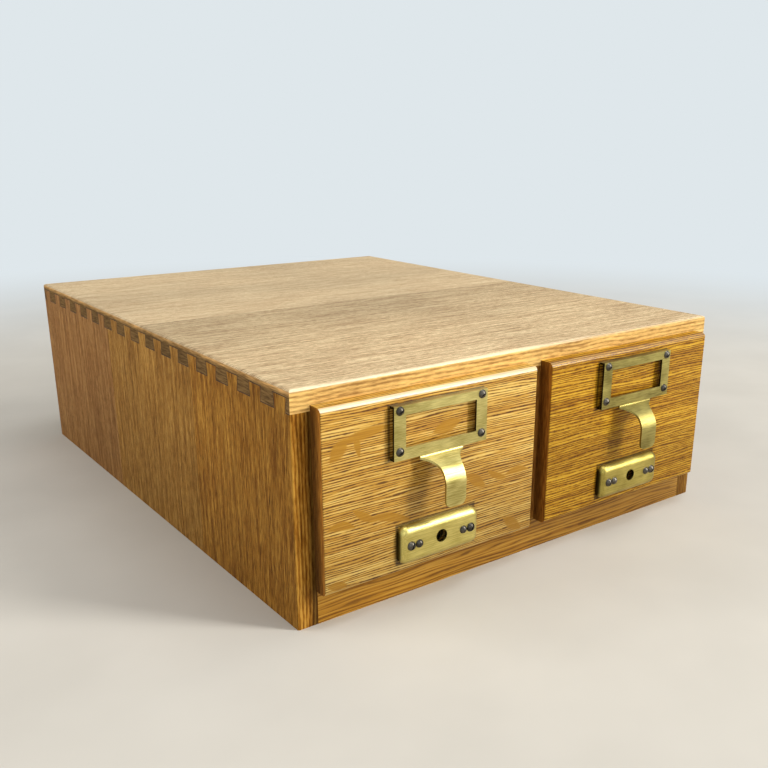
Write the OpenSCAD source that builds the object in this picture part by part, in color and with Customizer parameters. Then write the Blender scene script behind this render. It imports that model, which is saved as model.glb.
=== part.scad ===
// Two-drawer oak cabinet for 5 x 3 inch index cards.
// X runs left to right, the drawers open towards -Y, and Z is up from the surface it stands on.

/* [Cabinet] */
// Width over the two sides
cab_w = 320; // [300:1:380]
// Depth of the sides, front edge to back edge
cab_d = 400; // [340:1:460]
// Height over the top
cab_h = 128; // [122:1:150]
// Thickness of a side
side_t = 12; // [10:0.5:16]
// Thickness of the top
top_t = 12; // [11:0.5:16]
// Thickness of the partition between the drawers
partition_t = 14; // [10:0.5:20]
// Depth that the partition is housed in the top
partition_house = 3; // [2:0.5:5]
// Distance from the front to the start of that housing
partition_setback = 14; // [8:1:30]
// Height of the bottom rail, which is also the level that the drawers slide on
rail_h = 20.5; // [18:0.5:26]
// Thickness of the bottom rail and of the rear rail, front to back
rail_t = 16; // [14:0.5:24]
// Thickness of the floor panel
floor_t = 6; // [4:0.5:8]
// Depth of the floor panel's grooves in the sides
floor_groove = 4; // [2:0.5:6]
// Width of the step in the bottom rail that carries the floor panel
floor_step = 8; // [5:0.5:10]
// Thickness of the back panel
back_t = 5; // [4:0.5:8]
// Width of the rebate around the back panel
back_rebate = 6; // [4:0.5:8]
// Height of the back panel's lower edge above the surface
back_foot = 2; // [1:0.5:6]
// Radius of the nosing along the top's front edge
nosing_r = 2; // [1:0.5:6]
// Radius on the top's other edges
ease_r = 2; // [0.5:0.5:3]
// Radius on the front edges of the sides
side_edge_r = 0.8; // [0.3:0.1:2]

/* [Boards] */
// Distance from the front to the glue seam in the top
top_seam = 190; // [120:1:260]
// Distance from the front to the first glue seam in a side
side_seam_a = 114; // [60:1:160]
// Distance from the front to the second glue seam in a side
side_seam_b = 252; // [200:1:310]

/* [Dovetails] */
// Spacing of the tails
tail_pitch = 25.4; // [20:0.1:32]
// Width of a pin at the level of the top's underside
pin_w = 14.3; // [10:0.1:16]
// Length of a tail
tail_len = 8; // [6:0.5:9]
// Sideways slope of a tail for each millimetre of its length
tail_slope = 0.125; // [0.08:0.005:0.17]

/* [Drawers] */
// Thickness of the part of a front that stands proud of the cabinet
lip_t = 9.5; // [7:0.5:14]
// Overlap of a front on the cabinet at each side
lip_side = 1; // [0.5:0.5:3]
// Overlap of a front on the top
lip_top = 3; // [1:0.5:5]
// Overlap of a front on the bottom rail
lip_bottom = 1; // [0.5:0.5:5]
// Radius on a front's upper and lower edge
lip_r = 3; // [1:0.5:6]
// Radius on a front's upright edges
lip_end_r = 0.6; // [0.3:0.1:2]
// Thickness of the part of a front that enters the cabinet
block_t = 9.5; // [8:0.5:16]
// Room above that part
block_head = 0.8; // [0.4:0.1:2]
// Room beside a drawer box, each side
side_gap = 0.6; // [0.3:0.1:1.2]
// Room under a sliding piece
slide_gap = 0.3; // [0.2:0.1:0.5]
// Room behind a closed drawer
rear_gap = 6; // [3:0.5:20]
// Thickness of a drawer wall
wall_t = 5; // [4:0.5:7]
// Height of a drawer wall
wall_h = 70; // [50:1:90]
// Radius on the upper edges of a drawer wall
wall_r = 1.5; // [0.5:0.1:1.9]
// Thickness of the back of a drawer box
rear_t = 7; // [6:0.5:10]
// Distance from the top of the walls down to the top of that back
rear_drop = 4; // [0:0.5:12]
// Thickness of a drawer bottom
bottom_t = 4; // [3:0.5:5]
// Height of a drawer bottom above the lower edge of the walls
bottom_lift = 3.2; // [2.8:0.1:5]
// Depth of the bottom's grooves in the walls
wall_groove = 2.5; // [1.5:0.5:3]
// Depth of the bottom's groove in the front
block_groove = 4; // [2:0.5:6]

/* [Label pulls] */
// Width of the label frame
label_w = 62; // [50:0.5:80]
// Height of the label frame
label_h = 29; // [24:0.5:36]
// Width of the frame's side bars
label_side = 7.5; // [6:0.5:12]
// Height of the frame's upper bar
label_bar = 5.2; // [4:0.1:8]
// Height of the frame's lower bar
label_foot = 6.2; // [4:0.1:8]
// Thickness of the brass
label_t = 1.2; // [0.8:0.1:2]
// Depth of the card slot behind the frame
label_slot = 2.4; // [1.5:0.1:4]
// Distance from the top of a front down to the frame
label_down = 5.2; // [4:0.1:12]
// Distance from the frame's upper edge down to its upper screws
label_screw_down = 2.6; // [2.4:0.1:5]
// Distance from the frame's lower edge up to its lower screws
label_screw_up = 4.7; // [2.4:0.1:7]
// Width of the pull tongue where it leaves the frame
tongue_root = 29; // [22:0.5:36]
// Width of the pull tongue at its tip
tongue_w = 13.5; // [10:0.5:18]
// Reach of the tongue in front of the frame
tongue_reach = 12.5; // [11:0.5:20]
// Radius of the bend where the tongue leaves the frame
tongue_bend = 1.2; // [0.6:0.1:2]
// Length of the tongue's slope below that bend
tongue_start = 6; // [4:0.5:8]
// Downward angle of that slope
tongue_angle = 29; // [15:1:35]
// Length of the tongue's straight end
tongue_end = 12; // [8:0.5:18]
// Radius on the corners of the tip
tongue_tip_r = 4; // [1:0.5:4.5]

/* [Rod plates] */
// Width of a rod plate
plate_w = 54; // [46:0.5:70]
// Height of a rod plate
plate_h = 22; // [16:0.5:24]
// How far a plate's middle lies below the card rod
plate_drop = 0.5; // [0:0.1:1.2]
// Height of a rod plate's face above the wood
plate_t = 4.6; // [4.4:0.1:6]
// Radius of its corners
plate_corner = 5; // [4.6:0.1:7]
// Radius of its pressed edge
plate_edge = 4.2; // [2.5:0.1:4.3]
// Thickness of its brass
plate_wall = 1.2; // [0.8:0.1:1.6]
// Diameter of the hole in it
plate_hole_d = 7.4; // [7:0.1:9]
// Height of the card rod above the drawer bottom
rod_up = 8.3; // [8:0.1:14]
// Bore of the rod bush
bush_bore_d = 7; // [6:0.1:7.4]
// Outside diameter of the rod bush
bush_d = 9.5; // [8.6:0.1:11]
// Distance from the middle of a plate to each screw
plate_screw_x = 20.5; // [17:0.5:21]
// Distance from the middle of a plate to each rivet
plate_rivet_x = 15.2; // [10:0.1:15.4]

/* [Followers] */
// Height of a follower board
follower_h = 66; // [50:1:72]
// Thickness of a follower board
follower_t = 9; // [7:0.5:14]
// Angle that a follower leans back
follower_lean = 12; // [5:1:20]
// Room beside a follower board, each side
follower_gap = 1.5; // [0.5:0.1:4]
// Radius of its upper corners
follower_corner = 12; // [4:1:25]
// Room between a follower's brace and the back of its drawer
follower_rear = 3; // [1:0.5:20]
// Least distance from a follower board to the drawer's front
follower_front = 16; // [8:1:60]
// Width of the notch that clears the card rod
notch_w = 10; // [9:0.5:14]
// Width of a brace
brace_w = 46; // [40:1:70]
// Length of a brace's foot
brace_len = 58; // [46:1:80]
// Height of a brace's legs
brace_h = 44; // [34:1:48]
// Width of a brace's leg
brace_leg = 11; // [8:0.5:14]
// Thickness of a brace
brace_t = 1.5; // [1:0.1:2.5]
// Width of the slot in a drawer bottom
slot_w = 9; // [7:0.5:12]
// Length of the runner that follows the slot
runner_len = 36; // [28:1:40]
// Width of the runner's shoe below the drawer bottom
shoe_w = 24; // [18:1:34]
// Thickness of that shoe
shoe_t = 1.2; // [0.8:0.1:1.6]

/* [Fasteners] */
// Room around a fastener in its hole
hole_fit = 0.1; // [0.05:0.01:0.2]
// Diameter of a label screw's head
label_head_d = 5; // [4:0.1:5.4]
// Diameter of a plate screw's head
plate_head_d = 5.4; // [4.5:0.1:5.6]
// Diameter of a rivet's head
rivet_head_d = 4.8; // [4:0.1:5]
// Diameter of a small screw's, rivet's or runner rivet's shank
shank_d = 2.6; // [2:0.1:3]
// Height of a round head as a share of its diameter
head_rise = 0.36; // [0.25:0.01:0.45]
// Depth that a small screw enters the wood
screw_bite = 8; // [5:0.5:12]
// Width of a screw slot
screw_slot = 0.7; // [0.5:0.1:1]
// Distance from the top of a drawer wall down to its first brad
brad_margin = 12; // [6:0.5:20]
// Diameter of a brad
brad_d = 1.4; // [1:0.1:2]
// Length of a brad
brad_len = 14; // [10:0.5:18]
// Diameter of a nail
nail_d = 1.6; // [1.2:0.1:2]
// Length of a nail
nail_len = 14; // [11:0.5:20]
// Diameter of a nail's head
nail_head_d = 4; // [3:0.1:5]
// Thickness of a nail's head
nail_head_t = 0.8; // [0.6:0.1:1.2]
// Distance from a side to the first floor nail
floor_nail_margin = 32; // [28:1:40]
// Distance from the floor and the top to the nearest back nail in a side
back_nail_margin = 16; // [8:1:24]
// Distance from the cabinet's front and its back panel to the nearest partition screw
wood_screw_margin = 48; // [30:1:90]
// Diameter of a partition screw
wood_screw_d = 3.5; // [3:0.1:4.5]
// Length of a partition screw
wood_screw_len = 24; // [18:1:36]
// Diameter of a partition screw's countersunk head
wood_screw_head_d = 7; // [6:0.1:8]
// Diameter of a rail dowel
dowel_d = 5; // [4:0.5:6]
// Depth of a rail dowel in a rail
dowel_rail = 16; // [10:1:24]
// Wood left between a rail dowel and the outside of a side
dowel_skin = 4; // [3:0.5:6]

/* [Hidden] */
$fn = 48;

// Flats in the bend of a pull tongue
bend_steps = 20;
// Overshoot of a cutter past the face that it opens
over = 1;

// Finishes
oak_top = "#c8a878";
oak_side = "#8a5a30";
oak_front = "#c08a44";
oak_inside = "#b98d56";
plywood = "#c9a877";
brass = "#b5a04e";
steel = "#4a4d55";

// Cabinet levels and bays
inner_x = cab_w / 2 - side_t;
inner_d = cab_d - back_t;
bay_top = cab_h - top_t;
bay_w = inner_x - partition_t / 2;
bay_x = (inner_x + partition_t / 2) / 2;
floor_z = rail_h - floor_t;

// Drawer levels, measured from the cabinet's front plane and the middle of a bay
box_w = bay_w - 2 * side_gap;
box_in = box_w - 2 * wall_t;
box_z = rail_h + slide_gap;
box_len = inner_d - rear_gap;
wall_top = box_z + wall_h;
bottom_z = box_z + bottom_lift;
card_z = bottom_z + bottom_t;
lip_w = bay_w + 2 * lip_side;
lip_z0 = rail_h - lip_bottom;
lip_z1 = bay_top + lip_top;
rod_z = card_z + rod_up;
plate_z = rod_z - plate_drop;

// Label pull levels
label_face = lip_t + label_slot + label_t;
label_z1 = lip_z1 - label_down;
label_z0 = label_z1 - label_h;
label_screw_x = label_w / 2 - label_side / 2;

// Pull tongue levels: the radius and the middle of its large bend, and its tip
tongue_r = (tongue_reach - tongue_start * cos(tongue_angle)) / (1 - sin(tongue_angle)) - tongue_bend;
tongue_y = tongue_r - label_face - tongue_reach;
tongue_z = label_z0 - tongue_start * sin(tongue_angle) - (tongue_bend + tongue_r) * cos(tongue_angle);
tongue_tip = tongue_z - tongue_end;

// The frame of the part: the middle of its own box, on the surface that it stands on
front_reach = label_face + tongue_reach;
front_y = (front_reach - cab_d) / 2;

// Follower levels and travel, at rest at the back of the drawer
follower_z = card_z + slide_gap;
follower_foot = follower_t / cos(follower_lean);
follower_heel = box_len - rear_t - follower_rear - brace_len;
follower_face = follower_heel - follower_foot;
follower_travel = follower_face - block_t - follower_front;
follower_w = box_in - 2 * follower_gap;
runner_y = follower_heel + (brace_len - runner_len) / 2;
runner_w = slot_w - 2 * slide_gap;
leg_x = brace_w / 2 - brace_leg / 2;

// Tails along a side, in the middle of its length
tail_count = round(cab_d / tail_pitch);
tail_y0 = (cab_d - (tail_count - 1) * tail_pitch) / 2;
tail_w = tail_pitch - pin_w;

// Evenly spread place number i of count, between two values
function spread(i, count, from, to) = from + (to - from) * i / (count - 1);

// Points of an arc about a centre, from one angle to another
function arc(centre, r, from, to) = [
    for (i = [0 : bend_steps])
        centre + r * [cos(spread(i, bend_steps + 1, from, to)), sin(spread(i, bend_steps + 1, from, to))]
];

// A box given by its two corners
module span(a, b) {
    translate(a)
        cube(b - a);
}

// Cutter that rounds an edge along X at the origin, on a solid behind and below it
module edge_cut(length, r) {
    difference() {
        span([-length / 2 - over, -over, -r], [length / 2 + over, r, over]);
        translate([-length / 2 - 2 * over, r, -r])
            rotate([0, 90, 0])
                cylinder(h = length + 4 * over, r = r);
    }
}

// Places its children in the cabinet's frame, with y = 0 on the cabinet's front plane
module in_cabinet() {
    translate([0, front_y, 0])
        children();
}

// Places its children in a drawer's bay: -1 is the left bay and 1 the right
module in_bay(side) {
    in_cabinet()
        translate([side * bay_x, 0, 0])
            children();
}

// Keeps the stretch of a board between two distances from the front
module between(y0, y1) {
    intersection() {
        children();
        span([-cab_w, y0, -cab_h], [cab_w, y1, 2 * cab_h]);
    }
}

// Fasteners, each with its axis along Z, its head above z = 0 and its shank below

// A round head as a cap of a sphere
module round_head(d, h) {
    r = (d * d / 4 + h * h) / (2 * h);
    rotate_extrude()
        intersection() {
            translate([0, h - r])
                circle(r = r);
            square([d, h]);
        }
}

module round_screw(head_d, bite, turn) {
    dome = head_d * head_rise;
    difference() {
        round_head(head_d, dome);
        rotate([0, 0, turn])
            span([-head_d, -screw_slot / 2, dome / 2], [head_d, screw_slot / 2, dome + over]);
    }
    translate([0, 0, -bite])
        cylinder(h = bite, d = shank_d);
}

module round_rivet(head_d, length) {
    round_head(head_d, head_d * head_rise);
    translate([0, 0, -length])
        cylinder(h = length, d = shank_d);
}

module flush_nail(fit) {
    translate([0, 0, -nail_head_t])
        cylinder(h = nail_head_t + fit * over, d = nail_head_d + 2 * fit);
    translate([0, 0, -nail_len - fit])
        cylinder(h = nail_len, d = nail_d + 2 * fit);
}

// A hole for a small shank, from a little above z = 0
module shank_hole(depth) {
    translate([0, 0, -depth])
        cylinder(h = depth + over, d = shank_d + 2 * hole_fit);
}

// Cabinet carcass

// The tails of the left side, longer downward by root and outward by past
module tails(root, past) {
    half = tail_w / 2;
    for (i = [0 : tail_count - 1])
        translate([-cab_w / 2 - past, tail_y0 + i * tail_pitch, bay_top])
            rotate([90, 0, 90])
                linear_extrude(side_t + past)
                    polygon([
                        [-half + root * tail_slope, -root],
                        [half - root * tail_slope, -root],
                        [half + tail_len * tail_slope, tail_len],
                        [-half - tail_len * tail_slope, tail_len]
                    ]);
}

module back_rebate_cut() {
    reach = inner_x + back_rebate;
    span([-reach, inner_d, -over], [reach, cab_d + over, bay_top + back_rebate]);
}

module top_blank() {
    difference() {
        span([-cab_w / 2, 0, bay_top], [cab_w / 2, cab_d, cab_h]);
        tails(over, over);
        mirror([1, 0, 0])
            tails(over, over);
        back_rebate_cut();
        span([-partition_t / 2, partition_setback, bay_top - over],
             [partition_t / 2, inner_d + over, bay_top + partition_house]);
        translate([0, 0, cab_h])
            edge_cut(cab_w, nosing_r);
        translate([0, cab_d, cab_h])
            rotate([0, 0, 180])
                edge_cut(cab_w, ease_r);
        for (side = [-1, 1])
            translate([side * cab_w / 2, cab_d / 2, cab_h])
                rotate([0, 0, side * 90])
                    edge_cut(cab_d, ease_r);
        for (place = back_nails())
            in_back_nail(place)
                flush_nail(hole_fit);
    }
}

module top_front_board() {
    color(oak_top)
        between(-over, top_seam)
            top_blank();
}

module top_rear_board() {
    color(oak_top)
        between(top_seam, cab_d + over)
            top_blank();
}

module side_blank() {
    difference() {
        union() {
            span([-cab_w / 2, 0, 0], [-inner_x, cab_d, bay_top]);
            between(0, cab_d)
                tails(over, 0);
        }
        span([-inner_x - floor_groove, rail_t - floor_step, floor_z],
             [-inner_x + over, inner_d + over, rail_h]);
        for (face = [-1, 1])
            translate([(face * side_t - side_t) / 2 - inner_x, 0, bay_top / 2])
                rotate([0, face * 90, 0])
                    edge_cut(bay_top, side_edge_r);
        back_rebate_cut();
        dowels(hole_fit);
        for (place = back_nails())
            in_back_nail(place)
                flush_nail(hole_fit);
    }
}

// One board of a side: -1 is the left side and 1 the right
module side_board(side, y0, y1) {
    color(oak_side)
        mirror([side > 0 ? 1 : 0, 0, 0])
            between(y0, y1)
                side_blank();
}

module bottom_rail() {
    color(oak_front)
        difference() {
            span([-inner_x, 0, 0], [inner_x, rail_t, rail_h]);
            span([-inner_x - over, rail_t - floor_step, floor_z],
                 [inner_x + over, rail_t + over, rail_h + over]);
            dowels(hole_fit);
            floor_nails(hole_fit);
        }
}

module rear_rail() {
    color(oak_inside)
        difference() {
            span([-inner_x, inner_d - rail_t, 0], [inner_x, inner_d, floor_z]);
            dowels(hole_fit);
            floor_nails(hole_fit);
            for (place = back_nails())
                in_back_nail(place)
                    flush_nail(hole_fit);
        }
}

// Two dowels in each end of each rail
module dowels(fit) {
    in_side = side_t - dowel_skin;
    for (rail_y = [0, inner_d - rail_t], step = [0.25, 0.75], side = [-1, 1])
        translate([side * (inner_x + in_side + fit), rail_y + step * rail_t, floor_z / 2])
            rotate([0, -90 * side, 0])
                cylinder(h = in_side + dowel_rail + 2 * fit, d = dowel_d + 2 * fit);
}

module rail_dowels() {
    color(oak_inside)
        dowels(0);
}

// Nails down through the floor panel into the two rails
module floor_nails(fit) {
    for (y = [rail_t - floor_step / 2, inner_d - rail_t / 2], i = [0 : 3])
        translate([spread(i, 4, floor_nail_margin - inner_x, inner_x - floor_nail_margin), y, rail_h])
            flush_nail(fit);
}

module floor_panel() {
    reach = inner_x + floor_groove - hole_fit;
    color(plywood)
        difference() {
            span([-reach, rail_t - floor_step, floor_z], [reach, inner_d, rail_h]);
            floor_nails(hole_fit);
            wood_screws(hole_fit);
        }
}

module floor_panel_nails() {
    color(steel)
        floor_nails(0);
}

module partition() {
    color(oak_inside)
        difference() {
            union() {
                span([-partition_t / 2, 0, rail_h], [partition_t / 2, inner_d, bay_top]);
                span([-partition_t / 2, partition_setback, rail_h],
                     [partition_t / 2, inner_d, bay_top + partition_house]);
            }
            wood_screws(hole_fit);
        }
}

// Countersunk screws up through the floor panel into the partition
module wood_screws(fit) {
    head_h = (wood_screw_head_d - wood_screw_d) / 2;
    for (i = [0 : 2])
        translate([0, spread(i, 3, wood_screw_margin, inner_d - wood_screw_margin), floor_z]) {
            translate([0, 0, -fit])
                cylinder(h = head_h + fit, d1 = wood_screw_head_d + 2 * fit, d2 = wood_screw_d + 2 * fit);
            cylinder(h = wood_screw_len + fit, d = wood_screw_d + 2 * fit);
        }
}

module partition_screws() {
    color(steel)
        wood_screws(0);
}

// Places of the nails around the back panel, as [x, z]
function back_nails() = concat(
    [for (side = [-1, 1], i = [0 : 3])
        [side * (inner_x + back_rebate / 2),
         spread(i, 4, rail_h + back_nail_margin, bay_top - back_nail_margin)]],
    [for (side = [-1, 1]) [side * bay_x, bay_top + back_rebate / 2]],
    [for (i = [-1 : 1]) [i * bay_x, floor_z / 2]]
);

module in_back_nail(place) {
    translate([place[0], cab_d, place[1]])
        rotate([-90, 0, 0])
            children();
}

module back_panel() {
    reach = inner_x + back_rebate;
    color(plywood)
        difference() {
            span([-reach, inner_d, back_foot], [reach, cab_d, bay_top + back_rebate]);
            for (place = back_nails())
                in_back_nail(place)
                    flush_nail(hole_fit);
        }
}

module back_panel_nails() {
    color(steel)
        for (place = back_nails())
            in_back_nail(place)
                flush_nail(0);
}

// Drawer boxes, each in its bay

// Brads through the walls into the front and the back, and up through the bottom into the back
module brads(fit) {
    for (y = [block_t / 2, box_len - rear_t / 2], i = [0 : 2], side = [-1, 1])
        translate([side * (box_w / 2 + fit * over), y, spread(i, 3, rod_z, wall_top - brad_margin)])
            rotate([0, -90 * side, 0])
                cylinder(h = brad_len + fit, d = brad_d + 2 * fit);
    for (side = [-1, 1])
        translate([side * box_in / 4, box_len - rear_t / 2, bottom_z - fit])
            cylinder(h = brad_len + fit, d = brad_d + 2 * fit);
}

module drawer_brads() {
    color(steel)
        brads(0);
}

module drawer_front() {
    height = lip_z1 - lip_z0;
    color(oak_front)
        difference() {
            union() {
                span([-lip_w / 2, -lip_t, lip_z0], [lip_w / 2, 0, lip_z1]);
                span([-box_in / 2, -lip_t / 2, box_z], [box_in / 2, block_t, bay_top - block_head]);
            }
            for (turn = [0, 180])
                translate([0, -lip_t, (lip_z0 + lip_z1) / 2])
                    rotate([0, turn, 0]) {
                        translate([0, 0, height / 2])
                            edge_cut(lip_w, lip_r);
                        rotate([0, 90, 0])
                            translate([0, 0, lip_w / 2])
                                edge_cut(height, lip_end_r);
                    }
            span([-box_in / 2 - over, block_t - block_groove, bottom_z],
                 [box_in / 2 + over, block_t + over, card_z]);
            rod_hole(bush_d + 2 * hole_fit);
            on_label_screws()
                shank_hole(label_t + label_slot + screw_bite + hole_fit);
            on_plate(plate_screw_x)
                shank_hole(plate_t + screw_bite + hole_fit);
            on_plate(plate_rivet_x)
                shank_hole(plate_t + screw_bite + hole_fit);
            brads(hole_fit);
        }
}

// A hole along the card rod's axis, right through a front
module rod_hole(d) {
    translate([0, block_t + over, rod_z])
        rotate([90, 0, 0])
            cylinder(h = block_t + lip_t + plate_t + 2 * over, d = d);
}

// A wall of a drawer: -1 is its left wall and 1 its right
module drawer_wall(side) {
    color(oak_inside)
        mirror([side > 0 ? 1 : 0, 0, 0])
            difference() {
                span([-box_w / 2, 0, box_z], [-box_in / 2, box_len, wall_top]);
                span([-box_in / 2 - wall_groove, -over, bottom_z],
                     [-box_in / 2 + over, box_len + over, card_z]);
                for (turn = [-90, 90])
                    translate([-(box_w + box_in) / 4 + sign(turn) * wall_t / 2, box_len / 2, wall_top])
                        rotate([0, 0, turn])
                            edge_cut(box_len, wall_r);
                brads(hole_fit);
            }
}

module drawer_back() {
    color(oak_inside)
        difference() {
            span([-box_in / 2, box_len - rear_t, card_z], [box_in / 2, box_len, wall_top - rear_drop]);
            translate([0, box_len + over, rod_z])
                rotate([90, 0, 0])
                    cylinder(h = rear_t + 2 * over, d = bush_bore_d);
            brads(hole_fit);
        }
}

module drawer_bottom() {
    reach = box_in / 2 + wall_groove - hole_fit;
    color(plywood)
        difference() {
            span([-reach, block_t - block_groove, bottom_z], [reach, box_len, card_z]);
            span([-slot_w / 2, runner_y - follower_travel - slide_gap, bottom_z - over],
                 [slot_w / 2, runner_y + runner_len + slide_gap, card_z + over]);
            brads(hole_fit);
        }
}

// Brass on the drawer fronts

// Puts its children at the four label screws, on the face of the frame and pointing out of it
module on_label_screws() {
    for (x = [-label_screw_x, label_screw_x], z = [label_z0 + label_screw_up, label_z1 - label_screw_down])
        translate([x, -label_face, z])
            rotate([90, 0, 0])
                children();
}

// Puts its children at a distance each side of a rod plate's middle, pointing out of its face
module on_plate(x) {
    for (side = [-1, 1])
        translate([side * x, -lip_t - plate_t, plate_z])
            rotate([90, 0, 0])
                children();
}

module label_screws() {
    color(steel)
        on_label_screws()
            round_screw(label_head_d, label_t + label_slot + screw_bite, 35);
}

// The tongue as a bent strip, before its sides are drawn in: small bend, slope, large bend, straight end
module tongue_strip() {
    turn = 90 - tongue_angle;
    root = [-label_face - tongue_bend, label_z0];
    bend = [tongue_y, tongue_z];
    translate([-tongue_root / 2, 0, 0])
        rotate([90, 0, 90])
            linear_extrude(tongue_root)
                polygon(concat(
                    [root + [tongue_bend, label_t]],
                    arc(root, tongue_bend, 0, -turn),
                    arc(bend, tongue_r, 180 - turn, 180),
                    [[tongue_y - tongue_r, tongue_tip], [tongue_y - tongue_r + label_t, tongue_tip]],
                    arc(bend, tongue_r - label_t, 180, 180 - turn),
                    arc(root, tongue_bend + label_t, -turn, 0),
                    [root + [tongue_bend + label_t, label_t]]
                ));
}

// The tongue's outline, seen from above: its sides sweep in from the frame to the straight end
module tongue_plan() {
    draw_in = (tongue_root - tongue_w) / 2;
    sweep = tongue_reach - label_t;
    r = (draw_in * draw_in + sweep * sweep) / (2 * draw_in);
    difference() {
        translate([-tongue_root / 2, -front_reach - over])
            square([tongue_root, tongue_reach + label_t + 2 * over]);
        for (side = [-1, 1])
            translate([side * (tongue_w / 2 + r), -label_face - sweep]) {
                circle(r = r);
                translate([-r, -label_t - 2 * over])
                    square([2 * r, label_t + 2 * over]);
            }
    }
}

// The tongue's outline, seen from the front: straight down to two round corners
module tongue_front() {
    half = tongue_w / 2;
    translate([-tongue_root / 2, tongue_tip + tongue_tip_r])
        square([tongue_root, label_z1 - tongue_tip]);
    translate([-half + tongue_tip_r, tongue_tip])
        square([tongue_w - 2 * tongue_tip_r, 2 * tongue_tip_r]);
    for (side = [-1, 1])
        translate([side * (half - tongue_tip_r), tongue_tip + tongue_tip_r])
            circle(r = tongue_tip_r);
}

module label_pull() {
    half = label_w / 2;
    color(brass)
        difference() {
            union() {
                span([-half, -label_face, label_z0], [half, -lip_t - label_slot, label_z1]);
                for (z = [label_z0, label_z1 - label_t])
                    span([-half, -label_face + label_t / 2, z], [half, -lip_t, z + label_t]);
                intersection() {
                    tongue_strip();
                    translate([0, 0, tongue_tip - over])
                        linear_extrude(label_z1 - tongue_tip)
                            tongue_plan();
                    translate([0, over, 0])
                        rotate([90, 0, 0])
                            linear_extrude(front_reach + 2 * over)
                                tongue_front();
                }
            }
            span([-half + label_side, -label_face - over, label_z0 + label_foot],
                 [half - label_side, -lip_t, label_z1 - label_bar]);
            on_label_screws()
                shank_hole(label_t + label_slot);
        }
}

// Half of the pressed edge's section: flat face inward, rounded outward
module pressed_section(reach, height, edge) {
    square([reach - edge, height]);
    square([reach, height - edge]);
    translate([reach - edge, height - edge])
        intersection() {
            circle(r = edge);
            square(edge);
        }
}

// A plate with round corners and a rounded edge, standing on z = 0
module pressed_plate(w, h, t, corner, edge) {
    long = w - 2 * corner;
    tall = h - 2 * corner;
    span([-long / 2, -tall / 2, 0], [long / 2, tall / 2, t]);
    for (side = [-1, 1]) {
        translate([-long / 2, side * tall / 2, 0])
            mirror([0, side > 0 ? 0 : 1, 0])
                rotate([90, 0, 90])
                    linear_extrude(long)
                        pressed_section(corner, t, edge);
        translate([side * long / 2, tall / 2, 0])
            mirror([side > 0 ? 0 : 1, 0, 0])
                rotate([90, 0, 0])
                    linear_extrude(tall)
                        pressed_section(corner, t, edge);
        for (end = [-1, 1])
            translate([side * long / 2, end * tall / 2, 0])
                mirror([side > 0 ? 0 : 1, 0, 0])
                    mirror([0, end > 0 ? 0 : 1, 0])
                        rotate_extrude(angle = 90)
                            pressed_section(corner, t, edge);
    }
}

module rod_plate() {
    color(brass)
        difference() {
            translate([0, -lip_t, plate_z])
                rotate([90, 0, 0])
                    difference() {
                        pressed_plate(plate_w, plate_h, plate_t, plate_corner, plate_edge);
                        translate([0, 0, -over])
                            pressed_plate(plate_w - 2 * plate_wall, plate_h - 2 * plate_wall,
                                          plate_t - plate_wall + over, plate_corner - plate_wall,
                                          plate_edge - plate_wall);
                    }
            rod_hole(plate_hole_d);
            on_plate(plate_screw_x)
                shank_hole(plate_t);
            on_plate(plate_rivet_x)
                shank_hole(plate_t);
        }
}

module rod_plate_screws() {
    color(steel)
        on_plate(plate_screw_x)
            round_screw(plate_head_d, plate_t + screw_bite, 70);
}

module rod_plate_rivets() {
    color(steel)
        on_plate(plate_rivet_x)
            round_rivet(rivet_head_d, plate_t + screw_bite);
}

module rod_bush() {
    color(brass)
        translate([0, block_t, rod_z])
            rotate([90, 0, 0])
                difference() {
                    cylinder(h = block_t + lip_t, d = bush_d);
                    translate([0, 0, -over])
                        cylinder(h = block_t + lip_t + 2 * over, d = bush_bore_d);
                }
}

// Card followers, each in its drawer

// A slab that leans back from a line on the drawer bottom, between two x values
module leaning_slab(x0, x1, y, thickness, height) {
    foot = thickness / cos(follower_lean);
    shift = height * tan(follower_lean);
    translate([x0, y, follower_z])
        rotate([90, 0, 90])
            linear_extrude(x1 - x0)
                polygon([[0, 0], [foot, 0], [foot + shift, height], [shift, height]]);
}

module follower_board() {
    half = follower_w / 2;
    top = follower_z + follower_h;
    color(oak_inside)
        difference() {
            leaning_slab(-half, half, follower_face, follower_t, follower_h);
            for (side = [-1, 1])
                translate([side * (half - follower_corner), box_len, top - follower_corner])
                    rotate([90, 0, 0])
                        linear_extrude(box_len)
                            difference() {
                                translate([side > 0 ? 0 : -follower_corner - over, 0])
                                    square(follower_corner + over);
                                circle(r = follower_corner);
                            }
            translate([0, box_len, rod_z])
                rotate([90, 0, 0])
                    cylinder(h = box_len, d = notch_w);
            span([-notch_w / 2, 0, follower_z - over], [notch_w / 2, box_len, rod_z]);
            on_brace_screws()
                shank_hole(brace_t + follower_t / 2 + hole_fit);
        }
}

// Puts its children at the screws of the brace's legs, on their back faces and pointing out of them
module on_brace_screws() {
    for (side = [-1, 1], i = [0, 1])
        translate([side * leg_x, follower_heel, follower_z])
            rotate([-90 - follower_lean, 0, 0])
                translate([0, -spread(i, 2, brace_h / 2, brace_h - brace_leg / 2), brace_t])
                    children();
}

module follower_brace() {
    color(steel)
        difference() {
            union() {
                translate([-brace_w / 2, follower_heel, follower_z])
                    rotate([90, 0, 90])
                        linear_extrude(brace_w)
                            polygon([
                                [0, 0],
                                [brace_len, 0],
                                [brace_len, brace_t],
                                [brace_t * tan(follower_lean), brace_t]
                            ]);
                for (side = [-1, 1])
                    leaning_slab(side * leg_x - brace_leg / 2, side * leg_x + brace_leg / 2,
                                 follower_heel, brace_t, brace_h);
            }
            on_brace_screws()
                shank_hole(brace_t + over);
            on_runner()
                shank_hole(brace_t + over);
        }
}

module follower_screws() {
    color(steel)
        on_brace_screws()
            round_screw(label_head_d, brace_t + follower_t / 2, 0);
}

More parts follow.
